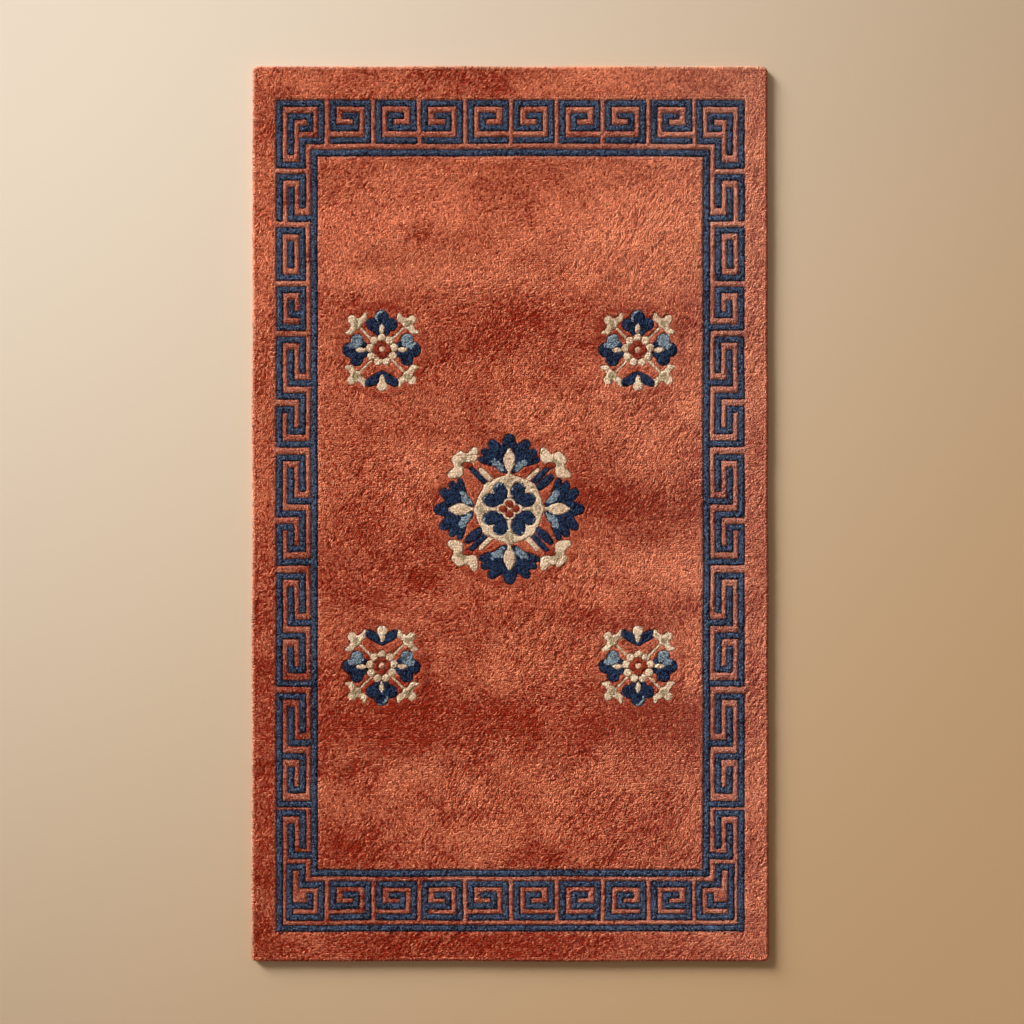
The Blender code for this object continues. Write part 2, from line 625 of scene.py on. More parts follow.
# %% Read the chart
def chart(x, y):
    """(number of the yarn, distance to the nearest carved outline) at each point."""
    x = x + 0.9 * MM * wander(x, y, 55 * MM, 55 * MM, 11)
    y = y + 0.9 * MM * wander(x, y, 55 * MM, 55 * MM, 12)
    yarn = np.zeros(len(x), int)
    outline = np.full(len(x), 0.1)
    in_band = np.abs(x) > FRET_SIDE - column(4)
    in_band |= (y > far_row(5)) | (y < near_row(6))
    d = fret_distance(x[in_band] - FRET_SHIFT, y[in_band])
    yarn[in_band] = np.where(d < 0, YARN["fret blue"], YARN["terracotta"])
    outline[in_band] = np.abs(d)
    for cx, cy, radius, layers in MEDALLIONS:
        here = np.hypot(x - cx, y - cy) < radius
        u, v = x[here] - cx, y[here] - cy
        this_yarn, this_outline = yarn[here], outline[here]
        ragged = 2.4 * MM * np.array([wander(u, v, 4 * MM, 4 * MM, seed) for seed in (13, 14)])
        for name, shape, carved in layers:
            # Two yarns that only shade into each other meet raggedly, knot by knot.
            d = shape(u, v) if carved else shape(u + ragged[0], v + ragged[1])
            this_yarn = np.where(d < 0, YARN[name], this_yarn)
            if carved:
                this_outline = np.where(d < 0, -d, np.minimum(this_outline, d))
        yarn[here], outline[here] = this_yarn, this_outline
    return yarn, outline


print("the knot at the rug's middle is", NAMES[chart(np.zeros(1), np.zeros(1))[0][0]])

# %% [markdown]
# ## The brushed nap
#
# Shorn wool leans, and where a foot or a brush has pushed it the other way the rug looks darker
# or paler, as velvet does, because the leaning pile catches the light differently. The tufts lean a
# little with it, and the rest is painted into the yarn's colour as painted light and painted shade.
# The big cloudy patches are placed one by one, and three wanders of different sizes break them up.
# The whole rug is painted a little paler towards its right and its far end, and a little fuller in
# the margin, which is trodden less.

# %% Brush the nap
NAP_PATCHES = (
    # x, y, half-length across, half-length along, strength: painted paler above 0, deeper below
    (-0.09, 0.54, 0.05, 0.04, 0.45),
    (-0.09, 0.46, 0.06, 0.04, 0.45),
    (0.16, 0.46, 0.11, 0.08, 0.70),
    (0.28, 0.54, 0.09, 0.06, 0.65),
    (0.02, 0.59, 0.06, 0.04, -0.50),
    (-0.25, 0.50, 0.14, 0.12, 0.30),
    (0.00, 0.31, 0.16, 0.07, -0.60),
    (0.20, 0.35, 0.14, 0.04, -1.00),
    (-0.26, 0.33, 0.12, 0.04, -0.20),
    (-0.20, 0.42, 0.14, 0.03, 0.35),
    (0.15, 0.18, 0.08, 0.05, 0.70),
    (0.08, 0.25, 0.08, 0.03, -0.35),
    (-0.17, 0.23, 0.06, 0.04, 0.30),
    (0.30, 0.17, 0.09, 0.07, 0.40),
    (-0.22, 0.09, 0.12, 0.04, 0.40),
    (-0.28, 0.05, 0.12, 0.04, 0.20),
    (-0.22, -0.04, 0.13, 0.025, -0.45),
    (0.22, -0.04, 0.14, 0.02, -0.40),
    (0.00, -0.29, 0.10, 0.03, 0.30),
    (-0.17, -0.12, 0.16, 0.05, -0.55),
    (0.24, 0.01, 0.17, 0.05, -1.10),
    (0.23, -0.10, 0.13, 0.05, 0.40),
    (0.14, -0.18, 0.18, 0.03, -0.65),
    (0.05, -0.27, 0.16, 0.05, 0.20),
    (0.16, -0.31, 0.05, 0.04, -0.40),
    (-0.28, -0.36, 0.13, 0.07, -0.80),
    (0.02, -0.38, 0.23, 0.05, -1.00),
    (0.30, -0.37, 0.11, 0.05, -0.95),
    (-0.18, -0.48, 0.14, 0.05, 0.40),
    (0.06, -0.47, 0.06, 0.06, 0.45),
    (-0.03, -0.57, 0.08, 0.03, 0.40),
    (0.07, -0.60, 0.05, 0.03, -0.60),
    (0.23, -0.55, 0.07, 0.05, -0.35),
    (-0.29, -0.60, 0.09, 0.04, -0.40),
    (-0.12, -0.77, 0.22, 0.03, -0.75),
    (0.25, -0.77, 0.22, 0.03, -0.45),
    (0.44, -0.22, 0.03, 0.22, -0.45),
    (-0.06, 0.77, 0.09, 0.03, -0.90),
    (0.13, 0.77, 0.10, 0.03, 0.40),
    (-0.44, -0.50, 0.03, 0.22, -0.50),
    (0.44, 0.13, 0.03, 0.05, -0.60),
    (-0.44, 0.40, 0.03, 0.32, 0.55),
    (-0.38, 0.77, 0.06, 0.03, 0.70),
    (0.38, 0.77, 0.08, 0.03, -0.50),
    (0.00, 0.78, 0.45, 0.03, 0.25),
    (-0.22, 0.54, 0.12, 0.10, 0.20),
)
print(len(NAP_PATCHES), "patches in the nap")

# %% Add the wanders to the patches
NAP_WANDERS = (
    # strength, size across in mm, size along in mm, seed
    (0.20, 110, 60, 21),
    (0.46, 48, 38, 22),
    (0.11, 24, 19, 23),
)
PALER_RIGHT, PALER_FAR, FULLER_MARGIN = 0.20, 0.16, 0.15
MOST_LIE = 1.1


def nap(x, y):
    """How the pile lies: towards the light and pale near 1, away from it and full near -1."""
    lie = PALER_RIGHT * x / (WIDTH / 2) + PALER_FAR * y / (LENGTH / 2)
    for strength, across, along, seed in NAP_WANDERS:
        lie = lie + strength * wander(x, y, across * MM, along * MM, seed)
    in_margin = (np.abs(x) > FRET_SIDE) | (y > FRET_FAR) | (y < FRET_NEAR)
    lie = lie - FULLER_MARGIN * in_margin
    for cx, cy, across, along, strength in NAP_PATCHES:
        lie = lie + strength * np.exp(-(((x - cx) / across) ** 2) - ((y - cy) / along) ** 2)
    return np.clip(lie, -MOST_LIE, MOST_LIE)


print("the nap from the near end to the far:", nap(np.zeros(5), np.linspace(-0.7, 0.7, 5)).round(2))

# %% [markdown]
# ## Tying the knots
#
# A rug of this kind has about nine knots in each three centimetres. Here they are tied on a net
# with every knot pushed a little off its place, finer where the pattern is fine. The carver's
# groove is where the pile is cut short next to an outline, and knots right on an outline are
# moved to their own side of it, so that colours meet cleanly.

# %% Choose the sizes of the knots
FIELD_PITCH = 3.3 * MM
FRET_PITCH = 2.4 * MM
MEDALLION_PITCH = 1.9 * MM
CARVE_DEPTH = 2.2 * MM
CARVE_WIDTH = 2.2 * MM
FINE_CARVE_WIDTH = 1.4 * MM
EDGE_ROWS_REACH = 6.0 * MM
SHEARED_BELOW = 0.7 * MM
TREAD, CLUMPING, CREASE_DEPTH = 0.4 * MM, 0.3 * MM, 1.0 * MM
print(f"knots {FIELD_PITCH * 1000:.1f}, {FRET_PITCH * 1000:.1f} and {MEDALLION_PITCH * 1000:.1f} mm apart")


# %% Lay out the net of knots
def net_of_knots(pitch, seed):
    """Places all over the rug at that pitch, each a little off the net."""
    rng = np.random.default_rng(seed)
    columns = int(WIDTH / pitch)
    rows = int(LENGTH / pitch)
    i, j = np.meshgrid(np.arange(columns), np.arange(rows))
    x = (i + 0.5 * (j % 2) - columns / 2 + 0.25) * pitch
    y = (j - rows / 2 + 0.5) * pitch
    x = x + rng.uniform(-0.32, 0.32, x.shape) * pitch
    y = y + rng.uniform(-0.32, 0.32, y.shape) * pitch
    x, y = x.ravel(), y.ravel()
    inside = edge_distance(x, y) > EDGE_ROWS_REACH
    return x[inside], y[inside]


def in_medallion(x, y):
    return np.any(
        [np.hypot(x - cx, y - cy) < radius for cx, cy, radius, layers in MEDALLIONS], axis=0
    )


def in_fret(x, y):
    """Between the fret's outer and inner outlines, with room for the grooves."""
    room = 4 * MM
    inner_x = FRET_SIDE - column(GUARD) - GUARD_LINE / 2 - room
    inner_far = far_row(4) - GUARD_LINE / 2 - room
    inner_near = near_row(5) + GUARD_LINE / 2 + room
    outer = (np.abs(x) < FRET_SIDE + room) & (y < FRET_FAR + room) & (y > FRET_NEAR - room)
    inner = (np.abs(x) < inner_x) & (y < inner_far) & (y > inner_near)
    return outer & ~inner


print(len(net_of_knots(FIELD_PITCH, 1)[0]), "knots would cover the rug at the field's pitch")

# %% Move knots off the outlines
CLEAR_SHARE = 0.42  # of the pitch


def cleared(x, y, pitch):
    """Each knot moved straight away from a carved outline that runs through it."""
    small = 0.2 * MM
    yarn, outline = chart(x, y)
    dx = (chart(x + small, y)[1] - chart(x - small, y)[1]) / (2 * small)
    dy = (chart(x, y + small)[1] - chart(x, y - small)[1]) / (2 * small)
    steep = np.maximum(np.hypot(dx, dy), 0.5)
    push = np.maximum(CLEAR_SHARE * pitch - outline, 0)
    return x + dx / steep * push, y + dy / steep * push


print(f"in the fret a knot keeps {CLEAR_SHARE * FRET_PITCH / MM:.1f} mm off an outline")

# %% Let the knots clump and part
def clumps(x, y, seed):
    """Knots cling together in small bunches."""
    return wander(x, y, 6.5 * MM, 5.0 * MM, seed)


def partings(x, y, degrees, seed):
    """1 along short straight partings that run that way, 0 elsewhere."""
    c, s = math.cos(math.radians(degrees)), math.sin(math.radians(degrees))
    strokes = wander(x * c + y * s, y * c - x * s, 15 * MM, 4.2 * MM, seed)
    return soft_step(-strokes, 0.32, 0.66)


def creases(x, y):
    """Where the pile parts: slanting strokes in some places, level ones in others."""
    slanting = soft_step(wander(x, y, 95 * MM, 60 * MM, 45) + 0.5 * x, -0.15, 0.45)
    level = soft_step(wander(x, y, 90 * MM, 50 * MM, 46), 0.1, 0.5)
    slanting = slanting * np.maximum(partings(x, y, 52, 43), 0.7 * partings(x, y, 68, 47))
    return np.maximum(slanting, 0.8 * level * partings(x, y, 4, 44))


sample_x, sample_y = np.meshgrid(np.linspace(-0.3, 0.3, 61), np.linspace(-0.6, 0.6, 121))
parted = creases(sample_x, sample_y) > 0.5
print(f"the pile parts in {100 * parted.mean():.0f}% of the field")

# %% Shear and carve the pile
def top_height(x, y, outline):
    """Where the shears leave the tip of the pile."""
    d = edge_distance(x, y)
    fall = DROP * (1 - np.sqrt(1 - np.clip(1 - d / REACH, 0, 1) ** 2))
    width = np.where(in_medallion(x, y), FINE_CARVE_WIDTH, CARVE_WIDTH)
    groove = CARVE_DEPTH * np.exp(-((outline / width) ** 2))
    tread = TREAD * wander(x, y, 90 * MM, 70 * MM, 31)
    tread = tread + CLUMPING * clumps(x, y, 32) - CREASE_DEPTH * creases(x, y)
    return HEIGHT - SHEARED_BELOW - fall - groove + tread


middle_height = top_height(np.zeros(1), np.zeros(1), np.full(1, 0.1))[0]
print(f"uncut, the pile's tip at the middle is {middle_height / MM:.1f} mm up")

# %% Colour the knots
PAINTED_SHEEN_COLOUR = np.array([0.80, 0.60, 0.47])
MOST_PAINTED_SHEEN = 0.13
FRET_GAP_TINT = np.array([0.80, 0.92, 1.10])
CLUMP_SHADE, CREASE_SHADE = 0.05, 0.24
FLOWER_GROUND, OUTLINE_GROUND = -0.14, 0.07
ABRASH = 0.04


def yarn_colour(x, y, yarn, outline, rng):
    """The colour of each knot's tips, with the dye's unevenness and painted light and shade."""
    lie = nap(x, y)
    clump = clumps(x, y, 41)
    ground = yarn == YARN["terracotta"]
    fret = yarn == YARN["fret blue"]
    # Painted shade in the carved groove, where the pile is cut open: least in the ground's own wool.
    shade_in_groove = np.where(ground, 0.66, 0.45)
    groove_shading = shade_in_groove + (1 - shade_in_groove) * soft_step(outline, 0.3 * MM, 2.2 * MM)
    groove_shading = np.where(fret, soft_step(outline, 0.6 * MM, 4.0 * MM), groove_shading)
    # Painted light and shade of the nap: paler where the pile lies towards the light, deeper away.
    paleness = PALENESS[yarn] + NAP_LIGHT_SHARE[yarn] * lie
    paleness = paleness + CLUMP_SHADE * clump + rng.normal(0, 1, len(x)) * UNEVENNESS[yarn]
    paleness = paleness + FLOWER_GROUND * (ground & in_medallion(x, y))
    paleness = paleness + OUTLINE_GROUND * (ground & (outline < 5 * MM))
    # Painted shade where the pile parts in creases.
    paleness = paleness - CREASE_SHADE * creases(x, y)
    paleness = np.clip(paleness, 0, 1.3) * groove_shading
    colour = DEEP_IN_SHADE[yarn] + (TIPS[yarn] - DEEP_IN_SHADE[yarn]) * paleness[:, None]
    # Painted sheen: the nearer the light comes to running along the yarn, the paler and greyer it
    # looks, so the ground is painted paler and greyer towards the right.
    painted_sheen = np.clip(x / (WIDTH / 2), 0, 1) ** 2 * (1 + 0.3 * y / (LENGTH / 2)) * ground
    colour = colour + (PAINTED_SHEEN_COLOUR - colour) * MOST_PAINTED_SHEEN * painted_sheen[:, None]
    # Between the fret's lines the ground is made deeper and a little bluer.
    between = ground & in_fret(x, y) & (outline < 8 * MM)
    colour = np.where(between[:, None], colour * FRET_GAP_TINT, colour)
    # Each batch of dye is a little different, so the rug changes in bands as the weaving goes on.
    abrash = 1 + ABRASH * wander(x, y, 500 * MM, 40 * MM, 42)
    return np.clip(colour * abrash[:, None], 0.001, 1)


print("haze over the knots", PAINTED_SHEEN_COLOUR, "and deepening between the fret's lines", FRET_GAP_TINT)

# %% Lean the knots
NAP_LEAN, CLUMP_LEAN, STRAY_LEAN = 0.06, 0.10, 0.09


def leans(x, y, rng):
    """Which way each tuft points: with the nap, with its clump, and a little astray."""
    lie = nap(x, y)
    lean_x = NAP_LEAN * lie + CLUMP_LEAN * clumps(x, y, 51) + rng.normal(0, STRAY_LEAN, len(x))
    lean_y = NAP_LEAN * lie + CLUMP_LEAN * clumps(x, y, 52) + rng.normal(0, STRAY_LEAN, len(x))
    return np.stack([lean_x, lean_y, np.ones(len(x))], 1)


most_lean = math.degrees(math.atan(NAP_LEAN + CLUMP_LEAN + 2 * STRAY_LEAN))
print(f"along each axis nearly every tuft leans less than {most_lean:.0f} degrees")

# %% [markdown]
# ## A tuft for every knot
#
# A tuft is the cheapest closed shape that still reads as yarn: a low three-sided cone. Geometry
# Nodes stands one on each knot: the tree has named inputs for the tuft's size, reads the knot's
# own lean, girth and twist from attributes, and ends by realizing the instances, because thousands
# of real tufts are what the rug is made of.

# %% Give the tuft tree its inputs
def tuft_tree():
    tree = bpy.data.node_groups.new("stand_tufts", "GeometryNodeTree")
    face = tree.interface
    face.new_socket("Geometry", in_out="INPUT", socket_type="NodeSocketGeometry")
    inputs = (
        # name, kind, value
        ("Girth", "NodeSocketFloat", 0.002),
        ("Length", "NodeSocketFloat", 0.002),
        ("Corners", "NodeSocketInt", 3),
        ("Wool", "NodeSocketMaterial", None),
    )
    for name, kind, value in inputs:
        socket = face.new_socket(name, in_out="INPUT", socket_type=kind)
        if value is not None:
            socket.default_value = value
    face.new_socket("Geometry", in_out="OUTPUT", socket_type="NodeSocketGeometry")
    return tree


TUFTS = tuft_tree()
print("the tuft tree's sockets:", [socket.name for socket in TUFTS.interface.items_tree])


# %% Helpers for any node tree
def add(tree, kind, **settings):
    node = tree.nodes.new(kind)
    for name, value in settings.items():
        setattr(node, name, value)
    return node


def wire(tree, *pairs):
    for source, target in pairs:
        tree.links.new(source, target)


def maths(tree, operation, first, second):
    """A Math node over two sockets or numbers."""
    node = add(tree, "ShaderNodeMath", operation=operation)
    for socket, value in zip(node.inputs, (first, second)):
        if isinstance(value, (int, float)):
            socket.default_value = value
        else:
            tree.links.new(value, socket)
    return node.outputs[0]


print("three helpers: add a node, wire sockets, and do maths on them")


# %% Build the tree that stands the tufts
def fill_tuft_tree(tree):
    given = add(tree, "NodeGroupInput").outputs
    cone = add(tree, "GeometryNodeMeshCone", fill_type="NGON")
    cone.inputs["Radius Top"].default_value = 0.0
    sink = add(tree, "ShaderNodeCombineXYZ")
    lowered = add(tree, "GeometryNodeTransform")
    lean = add(tree, "GeometryNodeInputNamedAttribute", data_type="FLOAT_VECTOR")
    lean.inputs["Name"].default_value = "lean"
    girth = add(tree, "GeometryNodeInputNamedAttribute", data_type="FLOAT_VECTOR")
    girth.inputs["Name"].default_value = "girth"
    align = add(tree, "FunctionNodeAlignRotationToVector", axis="Z")
    twist = add(tree, "GeometryNodeInputNamedAttribute", data_type="FLOAT")
    twist.inputs["Name"].default_value = "twist"
    about = add(tree, "FunctionNodeAxisAngleToRotation")
    about.inputs["Axis"].default_value = (0, 0, 1)
    turn = add(tree, "FunctionNodeRotateRotation", rotation_space="LOCAL")
    stand = add(tree, "GeometryNodeInstanceOnPoints")
    real = add(tree, "GeometryNodeRealizeInstances")
    wool = add(tree, "GeometryNodeSetMaterial")
    out = add(tree, "NodeGroupOutput")
    wire(
        tree,
        (given["Corners"], cone.inputs["Vertices"]),
        (given["Girth"], cone.inputs["Radius Bottom"]),
        (given["Length"], cone.inputs["Depth"]),
        (maths(tree, "MULTIPLY", given["Length"], -1.0), sink.inputs["Z"]),
        (cone.outputs["Mesh"], lowered.inputs["Geometry"]),
        (sink.outputs[0], lowered.inputs["Translation"]),
        (lean.outputs["Attribute"], align.inputs["Vector"]),
        (twist.outputs["Attribute"], about.inputs["Angle"]),
        (align.outputs[0], turn.inputs["Rotation"]),
        (about.outputs[0], turn.inputs["Rotate By"]),
        (given["Geometry"], stand.inputs["Points"]),
        (lowered.outputs[0], stand.inputs["Instance"]),
        (turn.outputs[0], stand.inputs["Rotation"]),
        (girth.outputs["Attribute"], stand.inputs["Scale"]),
        (stand.outputs[0], real.inputs[0]),
        (real.outputs[0], wool.inputs["Geometry"]),
        (given["Wool"], wool.inputs["Material"]),
        (wool.outputs[0], out.inputs[0]),
    )


fill_tuft_tree(TUFTS)
print(len(TUFTS.nodes), "nodes in the tuft tree")

# %% [markdown]
# ## Wool
#
# One wool serves all yarns: its colour comes from each knot's own attribute. Wool is rough, and
# its tiny fibres catch light at a glancing angle, which is what the sheen is for. A fine grain of
# fibres breaks the colour up and raises the surface a little.


# %% Make the wool
GRAIN_DEPTH = 0.22


def wool_material(name, brightness, grain_scale, sheen):
    """Wool that reads its yarn from the knots. grain_scale is in grains to the metre."""
    wool = bpy.data.materials.new(name)
    wool.use_nodes = True
    tree = wool.node_tree
    shader = tree.nodes["Principled BSDF"]
    shader.inputs["Roughness"].default_value = 0.92
    shader.inputs["Sheen Weight"].default_value = sheen
    shader.inputs["Sheen Roughness"].default_value = 0.45
    shader.inputs["Sheen Tint"].default_value = (1.0, 0.72, 0.50, 1.0)
    shader.inputs["Specular IOR Level"].default_value = 0.06
    yarn = add(tree, "ShaderNodeAttribute", attribute_name="yarn")
    where = add(tree, "ShaderNodeTexCoord")
    grain = add(tree, "ShaderNodeTexNoise")
    grain.inputs["Scale"].default_value = grain_scale
    grain.inputs["Detail"].default_value = 2.0
    shade = add(tree, "ShaderNodeMapRange")
    shade.inputs["To Min"].default_value = brightness * (1 - GRAIN_DEPTH)
    shade.inputs["To Max"].default_value = brightness * (1 + GRAIN_DEPTH)
    mixed = add(tree, "ShaderNodeVectorMath", operation="SCALE")
    raised = add(tree, "ShaderNodeBump")
    raised.inputs["Strength"].default_value = 0.35
    raised.inputs["Distance"].default_value = 0.4 * MM
    wire(
        tree,
        (where.outputs["Object"], grain.inputs["Vector"]),
        (grain.outputs["Fac"], shade.inputs["Value"]),
        (yarn.outputs["Color"], mixed.inputs[0]),
        (shade.outputs[0], mixed.inputs["Scale"]),
        (mixed.outputs[0], shader.inputs["Base Color"]),
        (grain.outputs["Fac"], raised.inputs["Height"]),
        (raised.outputs["Normal"], shader.inputs["Normal"]),
    )
    return wool


TUFT_WOOL = wool_material("wool_tips", 1.0, 900.0, 0.05)
EDGE_WOOL = wool_material("wool_edge", 1.1, 900.0, 1.0)
print("wool for the tips and for the edge")


# %% Hand the knots to the tree
def point_cloud(name, places, colour, lean, girth, twist):
    mesh = bpy.data.meshes.new(name)
    mesh.vertices.add(len(places))
    mesh.vertices.foreach_set("co", places.astype(np.float32).ravel())
    rgba = np.concatenate([colour, np.ones((len(colour), 1))], 1)
    mesh.attributes.new("yarn", "FLOAT_COLOR", "POINT").data.foreach_set("color", rgba.ravel())
    mesh.attributes.new("lean", "FLOAT_VECTOR", "POINT").data.foreach_set("vector", lean.ravel())
    mesh.attributes.new("girth", "FLOAT_VECTOR", "POINT").data.foreach_set("vector", girth.ravel())
    mesh.attributes.new("twist", "FLOAT", "POINT").data.foreach_set("value", twist)
    cloud = bpy.data.objects.new(name + "_knots", mesh)
    bpy.context.scene.collection.objects.link(cloud)
    return cloud


def socket_of(tree, name):
    """The identifier of the tree's input, which is what a modifier is set by."""
    found = [s for s in tree.interface.items_tree if s.name == name and s.in_out == "INPUT"]
    return found[0].identifier


def lay_flat_map(mesh):
    """A plain map straight down on the piece, stretched to fill the map's square."""
    points = np.empty(len(mesh.vertices) * 3, np.float32)
    mesh.vertices.foreach_get("co", points)
    points = points.reshape(-1, 3)
    corner = np.empty(len(mesh.loops), np.int32)
    mesh.loops.foreach_get("vertex_index", corner)
    flat = points[:, :2] - points[:, :2].min(0)
    flat = flat / flat.max(0) * 0.998 + 0.001
    layer = mesh.uv_layers.new(name="OFBake")
    layer.uv.foreach_set("vector", flat[corner].astype(np.float32).ravel())


print("the modifier sets the tuft's girth by", socket_of(TUFTS, "Girth"))


# %% Stand the tufts
def stand_tufts(name, places, colour, lean, girth, twist, sizes, wool=TUFT_WOOL):
    """Tufts on these knots as one plain mesh that rides on the rug."""
    cloud = point_cloud(name, places, colour, lean, girth, twist)
    modifier = cloud.modifiers.new("tufts", "NODES")
    modifier.node_group = TUFTS
    for socket, value in {**sizes, "Wool": wool}.items():
        modifier[socket_of(TUFTS, socket)] = value
    graph = bpy.context.evaluated_depsgraph_get()
    mesh = bpy.data.meshes.new_from_object(cloud.evaluated_get(graph), depsgraph=graph)
    mesh.name = name
    bpy.data.objects.remove(cloud)
    for spare in ("lean", "girth", "twist"):
        if spare in mesh.attributes:
            mesh.attributes.remove(mesh.attributes[spare])
    lay_flat_map(mesh)
    piece = bpy.data.objects.new(name, mesh)
    bpy.context.scene.collection.objects.link(piece)
    print(f"{name}: {len(places)} tufts, {sum(len(p.vertices) - 2 for p in mesh.polygons)} triangles")
    return piece


# %% [markdown]
# ## The pile, region by region
#
# No single mesh should be too heavy to handle, so the pile is stood in regions that a weaver
# would name: the plain margin, the fret, the field and the flowers.

# %% Tie every region
def region(name, pitch, keep, seed):
    """Knots at that pitch wherever keep says so, and their tufts."""
    rng = np.random.default_rng(seed)
    x, y = net_of_knots(pitch, seed)
    kept = keep(x, y)
    x, y = cleared(x[kept], y[kept], pitch)
    yarn, outline = chart(x, y)
    places = np.stack([x, y, top_height(x, y, outline) - rng.uniform(0, 0.5 * MM, len(x))], 1)
    colour = yarn_colour(x, y, yarn, outline, rng)
    thick = rng.uniform(0.85, 1.15, len(x))
    plain = soft_step(outline, 4 * MM, 10 * MM)
    girth = np.stack([thick * (1 + 0.25 * plain), thick * (1 - 0.18 * plain), np.ones(len(x))], 1)
    twist = 1.0 + 0.7 * wander(x, y, 80 * MM, 80 * MM, 53) + rng.normal(0, 0.5, len(x))
    twist = np.where(plain > 0.2, twist, rng.uniform(0, 2 * math.pi, len(x)))
    sizes = {"Girth": 1.12 * pitch, "Length": 0.62 * pitch}
    return stand_tufts(name, places, colour, leans(x, y, rng), girth, twist, sizes)


def in_field(x, y):
    return (np.abs(x) < FRET_SIDE - column(2)) & (y < far_row(3)) & (y > near_row(4))


PILE = [
    region("pile_margin", FIELD_PITCH, lambda x, y: ~in_fret(x, y) & ~in_field(x, y), 101),
    region("pile_fret_far", FRET_PITCH, lambda x, y: in_fret(x, y) & (y > 0), 102),
    region("pile_fret_near", FRET_PITCH, lambda x, y: in_fret(x, y) & (y <= 0), 103),
    region(
        "pile_field_far",
        FIELD_PITCH,
        lambda x, y: in_field(x, y) & ~in_fret(x, y) & ~in_medallion(x, y) & (y > 0),
        104,
    ),
    region(
        "pile_field_near",
        FIELD_PITCH,
        lambda x, y: in_field(x, y) & ~in_fret(x, y) & ~in_medallion(x, y) & (y <= 0),
        105,
    ),
    region("pile_medallions", MEDALLION_PITCH, in_medallion, 106),
]

# %% [markdown]
# ## The edge
#
# At the rug's edge the pile has nothing beside it, so it fans out over the back and is clipped
# round. Rows of tufts follow the outline, each row turned further up than the last. On the two
# sides that face the window the middle rows are painted paler, a painted highlight where the light
# catches the edge, and on the other two the wool is painted deeper, as painted shade on the flank.

# %% Walk round the outline
EDGE_PITCH = 3.1 * MM
EDGE_ROWS = (
    # turn above level in degrees, painted highlight towards the window, painted shade away from it
    (-35, 0.10, 1.00),
    (-5, 0.10, 1.00),
    (20, 0.45, 1.00),
    (42, 0.45, 1.00),
    (62, 0.25, 0.75),
    (80, 0.25, 0.30),
)
PAINTED_RIM_LIGHT = np.array([0.92, 0.66, 0.47])
MOST_FLANK_SHADE = 0.7


def along_outline(pitch):
    """Places round the outline at that pitch, and the outward direction at each."""
    order = np.arctan2(ring[:, 1] / LENGTH, ring[:, 0] / WIDTH).argsort()
    loop = ring[order]
    loop = loop[np.hypot(*(loop - np.roll(loop, 1, 0)).T) > 1e-6]
    closed = np.vstack([loop, loop[:1]])
    gone = np.concatenate([[0], np.hypot(*np.diff(closed, axis=0).T).cumsum()])
    count = int(gone[-1] / pitch)
    at = (np.arange(count) + 0.5) * gone[-1] / count
    x, y = np.interp(at, gone, closed[:, 0]), np.interp(at, gone, closed[:, 1])
    ahead = (at + pitch) % gone[-1]
    dx = np.interp(ahead, gone, closed[:, 0]) - x
    dy = np.interp(ahead, gone, closed[:, 1]) - y
    run = np.hypot(dx, dy)
    return x, y, dy / run, -dx / run


print(len(along_outline(EDGE_PITCH)[0]), "tufts in each of", len(EDGE_ROWS), "rows round the edge")


# %% Fan out the edge
def edge_tufts():
    rng = np.random.default_rng(107)
    places, leaning, rim_light, flank_shade = [], [], [], []
    for turn, rim_lit, full in EDGE_ROWS:
        x, y, out_x, out_y = along_outline(EDGE_PITCH)
        c, s = math.cos(math.radians(turn)), math.sin(math.radians(turn))
        inset = REACH * (1 - c) + rng.uniform(0.2, 1.0, len(x)) * MM
        height = BELLY + (DROP if turn > 0 else 0.8 * BELLY) * s - 0.6 * MM
        height = height + rng.normal(0, 0.3, len(x)) * MM
        slip = rng.uniform(-0.4, 0.4, len(x)) * EDGE_PITCH
        places.append(
            np.stack([x - out_x * inset - out_y * slip, y - out_y * inset + out_x * slip, height], 1)
        )
        lean = np.stack([out_x * c / REACH, out_y * c / REACH, np.full(len(x), s / DROP)], 1)
        lean = lean / np.linalg.norm(lean, axis=1)[:, None]
        leaning.append(lean + rng.normal(0, 0.13, lean.shape))
        # Painted highlight on the sides towards the window, painted shade on the flank away from it.
        rim_light.append(np.clip(0.85 * out_y - 0.75 * out_x + 0.1, 0, 1) * rim_lit)
        flank_shade.append(np.clip(0.9 * out_x - 0.9 * out_y, 0, 1) * full)
    places, leaning = np.vstack(places), np.vstack(leaning)
    rim_light, flank_shade = np.concatenate(rim_light), np.concatenate(flank_shade)
    places[:, 2] = np.maximum(places[:, 2], 1.6 * MM)
    x, y = places[:, 0], places[:, 1]
    yarn, outline = chart(x, y)
    colour = yarn_colour(x, y, yarn, outline, rng)
    # The painted highlight and the painted shade go over the yarn's colour.
    colour = colour + (PAINTED_RIM_LIGHT - colour) * rim_light[:, None]
    colour = colour + (DEEP_IN_SHADE[yarn] - colour) * MOST_FLANK_SHADE * flank_shade[:, None]
    thick = rng.uniform(0.85, 1.2, len(x))
    girth = np.stack([thick, thick, np.ones(len(x))], 1)
    sizes = {"Girth": 0.85 * EDGE_PITCH, "Length": 3.0 * MM}
    twist = rng.uniform(0, 2 * math.pi, len(x))
    return stand_tufts("pile_edge", places, colour, leaning, girth, twist, sizes, EDGE_WOOL)


PILE.append(edge_tufts())

# %% [markdown]
# ## The body of the pile and the woven back
#
# Under the tips the wool is packed so tight that no gap shows. It is one closed body, a little
# inside the tufts and carved like them, and its wool is painted at half brightness as painted shade
# between the tufts. Below it lies the weaving itself, cotton warps and wefts with the knots' loops
# wrapped round them, so the pattern shows on the underside as well, in flat little rows. Both are
# nets of squares drawn in to the rounded outline.

# %% A net drawn in to the outline
def stops(half, cell, border):
    """Places from -half to half: the border's own steps at both ends and even cells between."""
    inner = half - border[-1]
    count = max(int(round(2 * inner / cell)), 1)
    middle = np.linspace(-inner, inner, count + 1)
    ends = half - np.array(border[:-1])
    return np.concatenate([-ends, middle, ends[::-1]])


